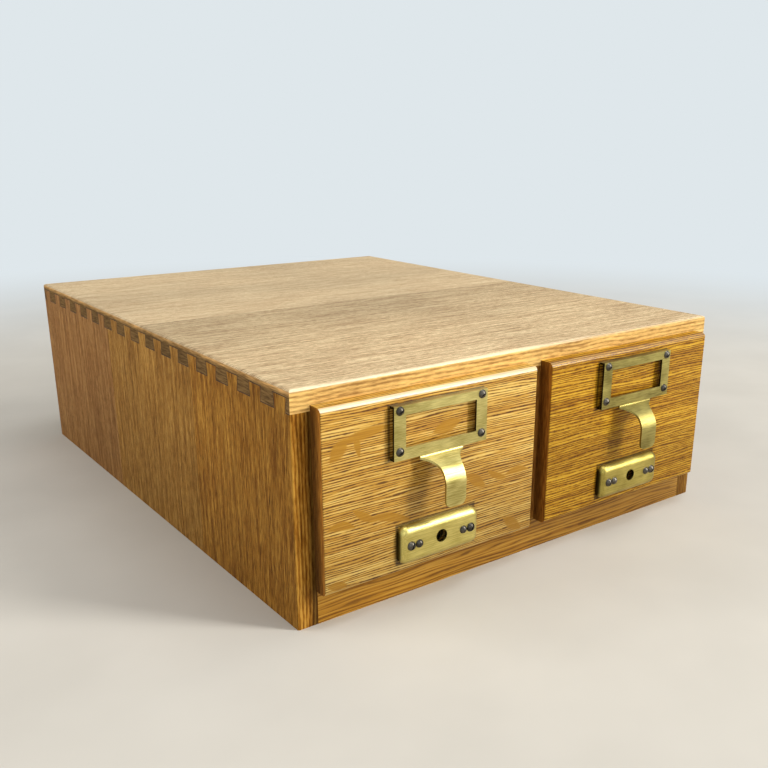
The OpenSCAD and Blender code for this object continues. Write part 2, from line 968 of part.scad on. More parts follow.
// Puts its children at the runner's rivets, on the brace's foot and pointing up
module on_runner() {
    for (step = [0.25, 0.75])
        translate([0, runner_y + step * runner_len, follower_z + brace_t])
            children();
}

module follower_runner() {
    shoe_z = bottom_z - slide_gap;
    color(steel)
        difference() {
            union() {
                span([-runner_w / 2, runner_y, shoe_z - shoe_t / 2],
                     [runner_w / 2, runner_y + runner_len, follower_z]);
                span([-shoe_w / 2, runner_y, shoe_z - shoe_t],
                     [shoe_w / 2, runner_y + runner_len, shoe_z]);
            }
            on_runner()
                shank_hole(follower_z + brace_t - shoe_z + shoe_t + over);
        }
}

module follower_rivets() {
    color(steel)
        on_runner()
            round_rivet(rivet_head_d, follower_z + brace_t - bottom_z + slide_gap + shoe_t);
}

in_cabinet() top_front_board();
in_cabinet() top_rear_board();
in_cabinet() side_board(-1, 0, side_seam_a);  // left_side_front_board
in_cabinet() side_board(-1, side_seam_a, side_seam_b);  // left_side_middle_board
in_cabinet() side_board(-1, side_seam_b, cab_d);  // left_side_rear_board
in_cabinet() side_board(1, 0, side_seam_a);  // right_side_front_board
in_cabinet() side_board(1, side_seam_a, side_seam_b);  // right_side_middle_board
in_cabinet() side_board(1, side_seam_b, cab_d);  // right_side_rear_board
in_cabinet() bottom_rail();
in_cabinet() rear_rail();
in_cabinet() rail_dowels();
in_cabinet() floor_panel();
in_cabinet() floor_panel_nails();
in_cabinet() partition();
in_cabinet() partition_screws();
in_cabinet() back_panel();
in_cabinet() back_panel_nails();

// Left drawer nodes
in_bay(-1) drawer_front();  // left_drawer_front
in_bay(-1) drawer_wall(-1);  // left_drawer_left_wall
in_bay(-1) drawer_wall(1);  // left_drawer_right_wall
in_bay(-1) drawer_back();  // left_drawer_back
in_bay(-1) drawer_bottom();  // left_drawer_bottom
in_bay(-1) drawer_brads();  // left_drawer_brads
in_bay(-1) label_pull();  // left_label_pull
in_bay(-1) label_screws();  // left_label_screws
in_bay(-1) rod_plate();  // left_rod_plate
in_bay(-1) rod_plate_screws();  // left_rod_plate_screws
in_bay(-1) rod_plate_rivets();  // left_rod_plate_rivets
in_bay(-1) rod_bush();  // left_rod_bush
in_bay(-1) follower_board();  // left_follower_board
in_bay(-1) follower_brace();  // left_follower_brace
in_bay(-1) follower_runner();  // left_follower_runner
in_bay(-1) follower_screws();  // left_follower_screws
in_bay(-1) follower_rivets();  // left_follower_rivets

// Right drawer nodes
in_bay(1) drawer_front();  // right_drawer_front
in_bay(1) drawer_wall(-1);  // right_drawer_left_wall
in_bay(1) drawer_wall(1);  // right_drawer_right_wall
in_bay(1) drawer_back();  // right_drawer_back
in_bay(1) drawer_bottom();  // right_drawer_bottom
in_bay(1) drawer_brads();  // right_drawer_brads
in_bay(1) label_pull();  // right_label_pull
in_bay(1) label_screws();  // right_label_screws
in_bay(1) rod_plate();  // right_rod_plate
in_bay(1) rod_plate_screws();  // right_rod_plate_screws
in_bay(1) rod_plate_rivets();  // right_rod_plate_rivets
in_bay(1) rod_bush();  // right_rod_bush
in_bay(1) follower_board();  // right_follower_board
in_bay(1) follower_brace();  // right_follower_brace
in_bay(1) follower_runner();  // right_follower_runner
in_bay(1) follower_screws();  // right_follower_screws
in_bay(1) follower_rivets();  // right_follower_rivets
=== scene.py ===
"""Oak index card cabinet: materials, joinery lines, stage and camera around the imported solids."""
import math
from collections import namedtuple
from dataclasses import dataclass
from functools import cached_property

import bmesh
import bpy
from mathutils import Euler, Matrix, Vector


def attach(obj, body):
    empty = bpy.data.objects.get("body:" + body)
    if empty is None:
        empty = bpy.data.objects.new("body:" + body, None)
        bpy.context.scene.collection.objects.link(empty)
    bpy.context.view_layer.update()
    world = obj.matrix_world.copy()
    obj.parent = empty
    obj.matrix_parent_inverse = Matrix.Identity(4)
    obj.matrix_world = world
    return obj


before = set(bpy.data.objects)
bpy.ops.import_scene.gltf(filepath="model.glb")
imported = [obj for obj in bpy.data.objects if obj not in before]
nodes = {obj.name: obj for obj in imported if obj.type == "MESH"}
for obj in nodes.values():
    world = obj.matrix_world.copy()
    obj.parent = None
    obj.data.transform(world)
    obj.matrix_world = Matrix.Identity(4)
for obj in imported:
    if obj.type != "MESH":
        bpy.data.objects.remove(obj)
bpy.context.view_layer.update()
scene = bpy.context.scene
MM = 0.001


def srgb(r, g, b):
    """A colour given as display values from 0 to 255, in linear light."""
    out = []
    for value in (r, g, b):
        c = value / 255
        out.append(c / 12.92 if c <= 0.04045 else ((c + 0.055) / 1.055) ** 2.4)
    return (*out, 1.0)


# A soft change of light between two places along an axis of the part
Fade = namedtuple("Fade", "axis low high at_low at_high")

# A lens-shaped ray mark: its middle, half its length and height, its turn in degrees and its arch
Leaf = namedtuple("Leaf", "u v half_length half_height turn arch")

# A box with painted shade along its edges, round a fitting: its middle and half its length and height
ShadeBox = namedtuple("ShadeBox", "u v half_length half_height")


class Shader:
    """One procedural material, built node by node. Lengths are in millimetres."""

    # How far a seed of one moves the coordinates
    SEED_MOVE = (173.1, 91.7, 57.3)
    # Detail and roughness of fine noise
    FINE = (3.0, 0.6)

    def __init__(self, name):
        self.material = bpy.data.materials.new(name)
        self.material.use_nodes = True
        self.tree = self.material.node_tree
        self.tree.nodes.clear()
        self.bsdf = self.node("ShaderNodeBsdfPrincipled")
        self.out = self.node("ShaderNodeOutputMaterial")
        self.tree.links.new(self.bsdf.outputs["BSDF"], self.out.inputs["Surface"])

    def node(self, kind, **settings):
        made = self.tree.nodes.new(kind)
        for key, value in settings.items():
            setattr(made, key, value)
        return made

    def put(self, socket, value):
        """Links a value that another node gives, or sets a constant."""
        if isinstance(value, bpy.types.NodeSocket):
            self.tree.links.new(value, socket)
        else:
            socket.default_value = value

    def set(self, **values):
        """Sets sockets of the surface, named with _ for a space."""
        for key, value in values.items():
            self.put(self.bsdf.inputs[key.replace("_", " ")], value)

    def math(self, op, a, b=0.0, c=0.0, clamp=False):
        made = self.node("ShaderNodeMath", operation=op, use_clamp=clamp)
        for socket, value in zip(made.inputs, (a, b, c)):
            self.put(socket, value)
        return made.outputs[0]

    def times(self, a, b):
        return self.math("MULTIPLY", a, b)

    def less(self, a, b):
        return self.math("SUBTRACT", a, b)

    def times_plus(self, a, b, c):
        return self.math("MULTIPLY_ADD", a, b, c)

    def size(self, value):
        return self.math("ABSOLUTE", value)

    def split(self, vector):
        made = self.node("ShaderNodeSeparateXYZ")
        self.put(made.inputs[0], vector)
        return dict(zip("XYZ", made.outputs))

    def place(self, seed):
        """The piece's own coordinates, moved by a seed so that boards differ."""
        made = self.node("ShaderNodeVectorMath", operation="MULTIPLY_ADD")
        self.put(made.inputs[0], self.node("ShaderNodeTexCoord").outputs["Object"])
        made.inputs[1].default_value = (1 / MM, 1 / MM, 1 / MM)
        made.inputs[2].default_value = [seed * move for move in self.SEED_MOVE]
        return self.split(made.outputs[0])

    @cached_property
    def flat(self):
        """The piece's own coordinates, not moved."""
        return self.place(0)

    @cached_property
    def way(self):
        """The way a face looks."""
        return self.split(self.node("ShaderNodeTexCoord").outputs["Normal"])

    def noise(self, values, sizes, detail=2.0, rough=0.5):
        """Noise over three coordinates, with marks of the given size along each."""
        point = self.node("ShaderNodeCombineXYZ")
        for socket, value, size in zip(point.inputs, values, sizes):
            self.put(socket, self.times(value, 1 / size))
        made = self.node("ShaderNodeTexNoise")
        self.put(made.inputs["Vector"], point.outputs[0])
        made.inputs["Scale"].default_value = 1.0
        made.inputs["Detail"].default_value = detail
        made.inputs["Roughness"].default_value = rough
        return made.outputs["Fac"]

    def step(self, value, low, high, at_low=0.0, at_high=1.0):
        """A soft step from at_low to at_high."""
        made = self.node("ShaderNodeMapRange", interpolation_type="SMOOTHSTEP")
        for socket, given in zip(made.inputs, (value, low, high, at_low, at_high)):
            self.put(socket, given)
        return made.outputs[0]

    def fade(self, given):
        return self.step(self.flat[given.axis], *given[1:])

    def ramp(self, value, stops, colours):
        made = self.node("ShaderNodeValToRGB")
        points = made.color_ramp.elements
        while len(points) < len(stops):
            points.new(0.5)
        for point, at, colour in zip(points, stops, colours):
            point.position = at
            point.color = colour
        self.put(made.inputs[0], value)
        return made.outputs["Color"]

    def mix(self, share, a, b, kind="MIX"):
        made = self.node("ShaderNodeMix", data_type="RGBA", blend_type=kind)
        for socket, value in ((0, share), (6, a), (7, b)):
            self.put(made.inputs[socket], value)
        return made.outputs[2]

    def shaded(self, colour, share):
        """A colour made lighter or darker by a factor."""
        made = self.node("ShaderNodeVectorMath", operation="SCALE")
        self.put(made.inputs[0], colour)
        self.put(made.inputs["Scale"], share)
        return made.outputs[0]

    def bump(self, height, strength, depth):
        made = self.node("ShaderNodeBump")
        made.inputs["Strength"].default_value = strength
        made.inputs["Distance"].default_value = depth * MM
        self.put(made.inputs["Height"], height)
        self.set(Normal=made.outputs[0])


@dataclass
class Board:
    """The figure and finish of a board. Lengths are in millimetres."""
    # Ways along the grain, across it on the shown face, and into the board
    axes: str
    # Colours of the wood from dark to light, of its pores, and of its end grain from dark to light
    tones: tuple
    pore: tuple
    end: tuple
    # Sets where the figure starts, so that no two boards are alike
    seed: int
    # Strength of the pore lines, their spacing and the length of their dashes
    marks: float = 0.5
    pitch: float = 1.3
    dash: float = 8
    # Length and width of fibres and of growth bands
    streak: tuple = (30, 0.6)
    band: tuple = (200, 4.0)
    # How far the lines wander, and how much the light changes from patch to patch
    sway: float = 3.0
    drift: float = 0.08
    # Smooth ray marks, and boxes with painted shade along their edges
    leaves: tuple = ()
    grime: tuple = ()
    # Tint of faces that look forward, and the painted light and shade on them from the inner to the outer
    # side of a side's front edge
    brow: tuple = None
    stile: tuple = None
    # Change of light along the board, and on its end grain
    fade: Fade = None
    end_fade: Fade = None
    # Roughness, reflection and varnish, and how pale the upper front edge is, by wear and a painted
    # highlight
    rough: float = 0.45
    gloss: float = 0.3
    coat: float = 0.0
    worn: float = 0.0


class Oak(Shader):
    """Oak for one board: pore lines broken into dashes, fibres, growth bands, ray marks, end grain."""

    # Sizes of slow changes along, across and into the board, and of the rows on end grain
    WAVE = (150, 60, 60)
    PATCH = (140, 80, 80)
    CROWD = (55, 5, 20)
    END_ROWS = (5, 9, 0.7)
    # How many times their width fibres and bands reach into the board
    REACH_IN = 3
    # Slope of the lines into the board, and how many rows they bunch up by
    SLOPE = 0.6
    BUNCH = 2.6
    # Sizes, counted in rows, of the noise that breaks them into dashes: under one, so that rows differ
    ROW_SIZES = (0.137, 0.271)
    # A pore shows where its noise rises through the span, more in dark bands and less towards a row's edge
    PORE_SPAN = (0.26, 0.38)
    PORE_BANDS = 0.25
    PORE_GAP = -0.75
    # Change of the pores on forward faces of boards with a brow or a stile
    PORE_AHEAD = -0.6
    # What bands, fibres and the way to a row's edge add to the tone, and where the tone starts
    TONE_BANDS = -0.35
    TONE_FIBRE = -0.45
    TONE_GAP = 0.12
    TONE_START = 0.84
    # Where the colours of the wood, of ray marks and of end grain lie
    TONE_STOPS = (0.39, 0.5, 0.61)
    RAY_STOPS = (0.35, 0.65)
    END_STOPS = (0.36, 0.64)
    RAY = (srgb(188, 136, 24), srgb(166, 114, 14))
    RAY_SHARE = 0.92
    RAY_RIM = (0.0, 0.4)
    # How square a face has to look forward, or along the grain, to count as a front or as end grain
    AHEAD_SPAN = (0.5, 0.9)
    ENDED_SPAN = (0.78, 0.96)
    # The rounding between front and top, its pale part of wear and painted highlight, and where along X
    # this dies away
    EDGE_GAIN = -1.6
    EDGE_SPAN = (0.3, 0.75)
    WORN_HIGHLIGHT = srgb(255, 240, 206)
    EDGE_HIGHLIGHT_SPAN = (-40, 80)
    EDGE_HIGHLIGHT_LEFT = 0.3
    # Span of the patches, of the painted light and shade on the front edge of a side, and of the painted
    # shade round a box
    PATCH_SPAN = (0.3, 0.7)
    STILE_SHADE_SPAN = (149.5, 154.0)
    SHADE_RING_SPAN = (0.3, 1.5)
    SHADE_RING_DARK = -0.7
    # Roughness of the varnish, and what end grain, fibres and pores add to that of the wood
    COAT_ROUGH = 0.24
    DULL_END = 0.4
    DULL_FIBRE = 0.16
    DULL_PORE = 0.15
    # Height of the fibres against the pores' depth
    RELIEF_FIBRE = 0.3
    RELIEF_STRENGTH = 0.2
    RELIEF_DEPTH = 0.3

    def __init__(self, name, board):
        super().__init__(name)
        self.board = board
        self.figure()
        colour = self.mix(self.ended, self.face(), self.cut())
        self.set(Base_Color=self.shaded(colour, self.light()), Specular_IOR_Level=board.gloss)
        self.varnish()

    @cached_property
    def ahead(self):
        """One on faces that look forward."""
        return self.step(self.times(self.way["Y"], -1.0), *self.AHEAD_SPAN)

    @cached_property
    def edge(self):
        """Above zero on the rounding between a front and its top."""
        return self.math("MULTIPLY", self.times(self.way["Y"], self.EDGE_GAIN), self.way["Z"], clamp=True)

    @cached_property
    def ended(self):
        """One on end grain."""
        return self.step(self.size(self.way[self.board.axes[0]]), *self.ENDED_SPAN)

    def figure(self):
        """Noises of the wood, the pore marks and the tone between them."""
        board = self.board
        at = self.place(board.seed)
        grain = [at[axis] for axis in board.axes]
        along, across, deep = grain
        wave = self.noise(grain, self.WAVE)
        bent = self.times_plus(wave, board.sway, self.times_plus(deep, self.SLOPE, across))
        lines = (along, bent, deep)
        bands = self.noise(lines, (*board.band, board.band[1] * self.REACH_IN))
        self.fibre = self.noise(lines, (*board.streak, board.streak[1] * self.REACH_IN), *self.FINE)
        self.patch = self.noise(grain, self.PATCH)
        self.rows = self.noise(grain, self.END_ROWS, *self.FINE)
        crowd = self.noise(grain, self.CROWD, detail=1.0)
        row = self.times_plus(bent, 1 / board.pitch, self.times(crowd, self.BUNCH))
        number = self.math("FLOOR", row)
        gap = self.size(self.times_plus(self.math("FRACT", row), 2.0, -1.0))
        broken = self.noise((along, number, number), (board.dash, *self.ROW_SIZES), rough=0.6)
        broken = self.math("ADD", broken, -self.PORE_BANDS / 2)
        broken = self.times_plus(bands, self.PORE_BANDS, broken)
        shown = self.times_plus(gap, self.PORE_GAP, broken)
        self.mark = self.step(shown, *self.PORE_SPAN, 0.0, board.marks)
        if board.brow or board.stile:
            self.mark = self.times(self.mark, self.times_plus(self.ahead, self.PORE_AHEAD, 1.0))
        tone = self.times_plus(self.fibre, self.TONE_FIBRE, self.times(gap, self.TONE_GAP))
        tone = self.times_plus(bands, self.TONE_BANDS, tone)
        self.tone = self.math("ADD", tone, self.TONE_START)

    def face(self):
        """The colour of the faces along the grain."""
        board = self.board
        colour = self.ramp(self.tone, self.TONE_STOPS, board.tones)
        if board.brow:
            colour = self.mix(self.ahead, colour, board.brow, "MULTIPLY")
        colour = self.mix(self.mark, colour, board.pore)
        if board.leaves:
            smooth = self.ramp(self.fibre, self.RAY_STOPS, self.RAY)
            colour = self.mix(self.times(self.rays(), self.RAY_SHARE), colour, smooth)
        # Pale upper front edge: wear and a painted highlight, fading towards the right
        if board.worn:
            left = self.fade(Fade("X", *self.EDGE_HIGHLIGHT_SPAN, board.worn, board.worn * self.EDGE_HIGHLIGHT_LEFT))
            pale_edge = self.times(self.step(self.edge, *self.EDGE_SPAN), left)
            colour = self.mix(pale_edge, colour, self.WORN_HIGHLIGHT)
        return colour

    def rays(self):
        """One inside any ray mark."""
        ray = None
        for leaf in self.board.leaves:
            one = self.ray(leaf)
            ray = one if ray is None else self.math("MAXIMUM", ray, one)
        return ray

    def ray(self, leaf):
        """One inside a lens with pointed ends, arched upwards."""
        c, s = math.cos(math.radians(leaf.turn)), math.sin(math.radians(leaf.turn))
        u, v = (self.flat[axis] for axis in self.board.axes[:2])
        du, dv = self.less(u, leaf.u), self.less(v, leaf.v)
        a = self.times_plus(du, c / leaf.half_length, self.times(dv, s / leaf.half_length))
        b = self.times_plus(dv, c, self.times(du, -s))
        rest = self.less(1.0, self.times(a, a))
        off = self.size(self.times_plus(rest, -leaf.arch, b))
        return self.step(self.times_plus(off, -1 / leaf.half_height, rest), *self.RAY_RIM)

    def cut(self):
        """The colour of end grain."""
        colour = self.ramp(self.rows, self.END_STOPS, self.board.end)
        # End grain darkened and lightened along the board: painted shade and light, partly wear and
        # lighter wood
        if self.board.end_fade:
            colour = self.shaded(colour, self.fade(self.board.end_fade))
        return colour

    def light(self):
        """How light or dark the board is from place to place: patches, changes along the board, and
        painted light and shade on the front edge of a side and round fittings.
        """
        board = self.board
        shade = self.step(self.patch, *self.PATCH_SPAN, 1 - board.drift, 1 + board.drift)
        if board.fade:
            shade = self.times(shade, self.fade(board.fade))
        # Painted light and shade across the front edge of a side
        if board.stile:
            change = self.step(self.size(self.flat["X"]), *self.STILE_SHADE_SPAN, *board.stile)
            shade = self.times(shade, self.times_plus(self.ahead, change, 1.0))
        # Painted shade round the fittings, on forward faces
        for shade_box in board.grime:
            shade = self.times(shade, self.times_plus(self.shade_box(shade_box), self.ahead, 1.0))
        return shade

    def shade_box(self, given):
        """Below zero along the edges of a box: painted shade round a fitting."""
        u, v = (self.flat[axis] for axis in self.board.axes[:2])
        du = self.less(self.size(self.less(u, given.u)), given.half_length)
        dv = self.less(self.size(self.less(v, given.v)), given.half_height)
        return self.step(self.size(self.math("MAXIMUM", du, dv)), *self.SHADE_RING_SPAN, self.SHADE_RING_DARK, 0.0)

    def varnish(self):
        """Varnish that is thickest on the upper front edge, the wood's dullness and its open pores."""
        board = self.board
        if board.coat:
            polish = self.times_plus(self.edge, 1 - board.coat, board.coat)
            self.set(Coat_Weight=self.times(self.less(1.0, self.ended), polish))
            self.set(Coat_Roughness=self.COAT_ROUGH)
        dull = self.times_plus(self.fibre, self.DULL_FIBRE, board.rough - self.DULL_FIBRE / 2)
        dull = self.times_plus(self.ended, self.DULL_END, dull)
        self.set(Roughness=self.times_plus(self.mark, self.DULL_PORE, dull))
        relief = self.less(self.times(self.fibre, self.RELIEF_FIBRE), self.mark)
        self.bump(relief, self.RELIEF_STRENGTH, self.RELIEF_DEPTH)


def wood(name, *figure, **finish):
    """Oak or plywood, described as a Board is."""
    return Oak(name, Board(*figure, **finish)).material


# Sizes of brush marks and tarnish on metal, and what each adds to its roughness
BRUSH_MARKS = (9, 0.4, 0.4)
TARNISH = (16, 16, 12)
MARKS_ROUGH = 0.10
TARNISH_ROUGH = 0.14
METAL_STOPS = (0.36, 0.62)
# Which faces of brass count as sideways, and how much darker they are painted as shade
SIDEWAYS_SPAN = (0.7, 0.95)
SIDE_SHADE_DARK = -0.9


def metal(name, dark, light, rough, brush, seed, side_shade_from=None):
    """Worn metal with fine brush marks along X and patches of tarnish. Above the given height, the
    faces that look sideways are painted nearly black as shade."""
    s = Shader(name)
    at = s.place(seed).values()
    marks = s.noise(at, BRUSH_MARKS, *s.FINE)
    patch = s.noise(at, TARNISH, detail=3.0)
    tone = s.times_plus(marks, brush, s.times(patch, 1 - brush))
    colour = s.ramp(tone, METAL_STOPS, (dark, light))
    # Painted shade on the faces that look sideways
    if side_shade_from is not None:
        sideways = s.step(s.size(s.way["X"]), *SIDEWAYS_SPAN)
        shaded_side = s.times(sideways, s.step(s.flat["Z"], side_shade_from, side_shade_from + 1))
        colour = s.shaded(colour, s.times_plus(shaded_side, SIDE_SHADE_DARK, 1.0))
    s.set(Base_Color=colour, Metallic=1.0)
    dull = s.times_plus(patch, TARNISH_ROUGH, rough - (MARKS_ROUGH + TARNISH_ROUGH) / 2)
    s.set(Roughness=s.times_plus(marks, MARKS_ROUGH, dull))
    s.bump(marks, strength=0.05, depth=0.2)
    return s.material


# Easing of edges: points closer than this are one, and these angles count as flat and as an edge
WELD_GAP = 0.005
FLAT_ANGLE = 0.5
EDGE_ANGLE = 38


def dress(node, material, ease=0.0):
    """Gives a CAD node a material, and takes its sharp edges off by ease millimetres."""
    obj = nodes[node]
    obj.data.materials.clear()
    obj.data.materials.append(material)
    if ease:
        weld = obj.modifiers.new("weld", "WELD")
        weld.merge_threshold = WELD_GAP * MM
        flat = obj.modifiers.new("flat", "DECIMATE")
        flat.decimate_type = "DISSOLVE"
        flat.angle_limit = math.radians(FLAT_ANGLE)
        edge = obj.modifiers.new("ease", "BEVEL")
        edge.width = ease * MM
        edge.segments = 2
        edge.limit_method = "ANGLE"
        edge.angle_limit = math.radians(EDGE_ANGLE)
        edge.face_strength_mode = "FSTR_ALL"
        level = obj.modifiers.new("level", "WEIGHTED_NORMAL")
        level.keep_sharp = False
        level.use_face_influence = True


# Top of the cabinet
END = (srgb(88, 66, 38), srgb(134, 104, 64))
# The top boards' tones are paler and greyer than the oak: a painted sheen of the pale background. The brow
# tint takes forward faces back to the oak's golden colour.
TOP_FRONT_SHEEN = (srgb(166, 138, 104), srgb(206, 180, 141), srgb(228, 208, 167))
TOP_REAR_SHEEN = (srgb(188, 159, 121), srgb(210, 187, 150), srgb(226, 207, 168))
TOP_GRAIN = dict(pitch=1.4, dash=4, streak=(6, 0.6), band=(36, 2.4), sway=4.0)
# The top's end grain lightens towards its upper edge: lighter wood and a painted highlight on the
# rounding. The nosing's rounding is made pale: wear and a painted highlight.
TOP_FINISH = dict(
    brow=(1.0, 0.83, 0.45, 1.0), end_fade=Fade("Z", 123.8, 127.6, 1.0, 3.6),
    rough=0.66, gloss=0.12, coat=0.002, worn=0.4,
)
oak_top_front = wood(
    "oak_top_front", "XYZ", TOP_FRONT_SHEEN, srgb(104, 72, 28), END, seed=1, marks=0.7,
    fade=Fade("Y", -190, -10, 1.2, 0.9), **TOP_GRAIN, **TOP_FINISH,
)
oak_top_rear = wood(
    "oak_top_rear", "XYZ", TOP_REAR_SHEEN, srgb(124, 86, 40), END, seed=2, marks=0.55,
    **TOP_GRAIN, **TOP_FINISH,
)
dress("top_front_board", oak_top_front)
dress("top_rear_board", oak_top_rear)

# Sides of the cabinet: tones, pores and their strength for each board
SIDES = {
    "front": ((srgb(112, 66, 10), srgb(156, 104, 30), srgb(196, 145, 60)), srgb(62, 32, 4), 0.9),
    "middle": ((srgb(122, 78, 20), srgb(160, 112, 43), srgb(196, 150, 74)), srgb(68, 38, 6), 0.9),
    "rear": ((srgb(120, 76, 28), srgb(154, 106, 51), srgb(186, 140, 80)), srgb(74, 42, 12), 0.8),
}
SIDE_GRAIN = dict(pitch=1.2, dash=4.5, streak=(7, 0.6), band=(40, 3.0), sway=1.5)
# The sides grow darker towards the floor: painted shade
SIDE_FINISH = dict(fade=Fade("Z", 5, 95, 0.8, 1.03), rough=0.6, gloss=0.1)
# Front edges of the sides: painted shade next to the drawer lips; on the left painted light towards the
# outer side, on the right darker wood
STILE_SHADES = {("left", "front"): (-0.65, 0.2), ("right", "front"): (-0.5, -0.35)}
seed = 3
for side in ("left", "right"):
    for board, (tones, pore, marks) in SIDES.items():
        oak_side = wood(
            f"oak_{side}_side_{board}", "ZYX", tones, pore, END, seed, marks,
            stile=STILE_SHADES.get((side, board)), **SIDE_GRAIN, **SIDE_FINISH,
        )
        dress(f"{side}_side_{board}_board", oak_side)
        seed += 1

# Drawer fronts
DRAWER_MIDDLE = 77.5
FRONT_END = (srgb(112, 70, 20), srgb(166, 112, 42))
# Drawer lips' end grain, darker at the back and lighter at the front: painted shade and light, with some
# wear
LIP_END_SHADE_AND_WEAR = Fade("Y", -196.8, -189.5, 1.7, 0.65)
FRONT = (srgb(163, 110, 26), srgb(203, 153, 54), srgb(239, 203, 112))
# The right front is darker and more saturated than the left: partly a plainer board, partly painted shade
# where it catches less reflected light
FRONT_RIGHT = (srgb(130, 80, 4), srgb(180, 128, 20), srgb(222, 174, 50))
LEAVES = (
    Leaf(-139.3, 96.5, 8.5, 5.0, 48, 0),
    Leaf(-123.2, 101.5, 18, 3.4, 8, 0.8),
    Leaf(-128.4, 97.5, 8, 2.3, -80, 0),
    Leaf(-124.1, 58.2, 10, 2.8, -33, -0.6),
    Leaf(-109, 52, 16, 3.0, -15, 1.6),
    Leaf(-138.7, 54, 9.5, 3.2, -9, 2.4),
    Leaf(-50, 60.5, 10, 4.0, -36, 0),
    Leaf(-34, 61.2, 9.5, 2.4, -27, -1.4),
    Leaf(-19.1, 57.8, 11, 2.5, 0, 2.4),
    Leaf(-21.1, 27, 10, 4.2, -35, 0),
    Leaf(-71.5, 96.2, 11, 4.6, 10, 0),
    Leaf(-141.7, 23.9, 7, 3.0, -9, 0),
)


# Painted shade round the rod plate and the label frame, a little to the left of a drawer's middle
PLATE_SHADE = ShadeBox(-0.4, 36.0, 26.4, 11)
LABEL_SHADE = ShadeBox(-0.7, 99.3, 31, 14.2)


def front_grime(middle):
    """The painted shade round the fittings on the front of a drawer whose middle is given."""
    return tuple(shade_box._replace(u=middle + shade_box.u) for shade_box in (PLATE_SHADE, LABEL_SHADE))


# Both fronts grow darker towards the bottom: painted shade
oak_left_front = wood(
    "oak_left_front", "XZY", FRONT, srgb(80, 40, 2), FRONT_END, seed=17, marks=0.85,
    pitch=1.4, dash=6.5, streak=(22, 0.6), leaves=LEAVES, grime=front_grime(-DRAWER_MIDDLE),
    fade=Fade("Z", 22, 100, 0.68, 1.03), end_fade=LIP_END_SHADE_AND_WEAR, gloss=0.2, coat=0.35, worn=0.6,
)
oak_right_front = wood(
    "oak_right_front", "XZY", FRONT_RIGHT, srgb(84, 44, 4), FRONT_END, seed=18, marks=0.72,
    pitch=1.6, dash=2.6, streak=(8, 0.6), drift=0.14, grime=front_grime(DRAWER_MIDDLE),
    fade=Fade("Z", 22, 100, 0.82, 0.94), end_fade=LIP_END_SHADE_AND_WEAR, gloss=0.1, coat=0.15, worn=0.12,
)
dress("left_drawer_front", oak_left_front)
dress("right_drawer_front", oak_right_front)

# Rail under the drawers
RAIL = (srgb(140, 88, 16), srgb(176, 124, 34), srgb(202, 152, 58))
RAIL_EASE = 0.5
oak_rail = wood(
    "oak_rail", "XZY", RAIL, srgb(88, 50, 10), FRONT_END, seed=11, marks=0.5,
    pitch=2.2, dash=14, streak=(60, 1.0), band=(200, 5.0), sway=6.0,
    fade=Fade("X", -120, 70, 0.94, 0.64), gloss=0.2, coat=0.1,
)
dress("bottom_rail", oak_rail, RAIL_EASE)

# Oak inside the cabinet, along the drawers and across them
INSIDE = (srgb(156, 114, 62), srgb(190, 146, 90), srgb(210, 170, 114))
INSIDE_PORE = srgb(124, 84, 44)
INSIDE_EASE = 0.4
oak_inside = wood("oak_inside", "YZX", INSIDE, INSIDE_PORE, END, seed=12, rough=0.62)
oak_cross = wood("oak_cross", "XZY", INSIDE, INSIDE_PORE, END, seed=24, rough=0.62)
oak_upright = wood("oak_partition", "YZX", INSIDE, INSIDE_PORE, FRONT_END, seed=13, rough=0.6)
dress("rear_rail", oak_cross, INSIDE_EASE)
dress("rail_dowels", oak_inside)
dress("partition", oak_upright, INSIDE_EASE)

# Plywood of the floor, the back and the drawer bottoms
PLY = (srgb(172, 134, 84), srgb(200, 162, 108), srgb(214, 178, 126))
PLY_PORE = srgb(150, 110, 66)
PLY_END = (srgb(120, 84, 50), srgb(190, 150, 100))
PLY_GRAIN = dict(marks=0.35, pitch=2.6, dash=26, streak=(120, 2.0), band=(500, 9.0), rough=0.65)
plywood = wood("plywood_panel", "YXZ", PLY, PLY_PORE, PLY_END, seed=14, **PLY_GRAIN)
plywood_back = wood("plywood_back", "XZY", PLY, PLY_PORE, PLY_END, seed=20, gloss=0.15, **PLY_GRAIN)
dress("floor_panel", plywood)
dress("back_panel", plywood_back)

# Brass and steel
# Heights above which the sideways faces of the pulls and the plates are painted dark as shade
FRAME_SIDE_SHADE = 84
PLATE_SIDE_SHADE = 0
PULL_EASE = 0.25
aged_brass = metal(
    "aged_brass", srgb(150, 135, 70), srgb(214, 199, 128),
    rough=0.34, brush=0.6, seed=15, side_shade_from=FRAME_SIDE_SHADE,
)
dull_brass = metal(
    "dull_brass", srgb(116, 103, 50), srgb(176, 162, 94),
    rough=0.38, brush=0.5, seed=22, side_shade_from=FRAME_SIDE_SHADE,
)
plate_brass = metal(
    "plate_brass", srgb(176, 160, 82), srgb(220, 204, 124),
    rough=0.36, brush=0.6, seed=19, side_shade_from=PLATE_SIDE_SHADE,
)
dull_plate_brass = metal(
    "dull_plate_brass", srgb(140, 124, 56), srgb(192, 174, 94),
    rough=0.38, brush=0.5, seed=23, side_shade_from=PLATE_SIDE_SHADE,
)
PULL_BRASS = {"left": aged_brass, "right": dull_brass}
PLATE_BRASS = {"left": plate_brass, "right": dull_plate_brass}
steel = metal(
    "dark_steel", srgb(50, 47, 42), srgb(112, 106, 96), rough=0.34, brush=0.4, seed=16,
)
for fixing in ("floor_panel_nails", "partition_screws", "back_panel_nails"):
    dress(fixing, steel)

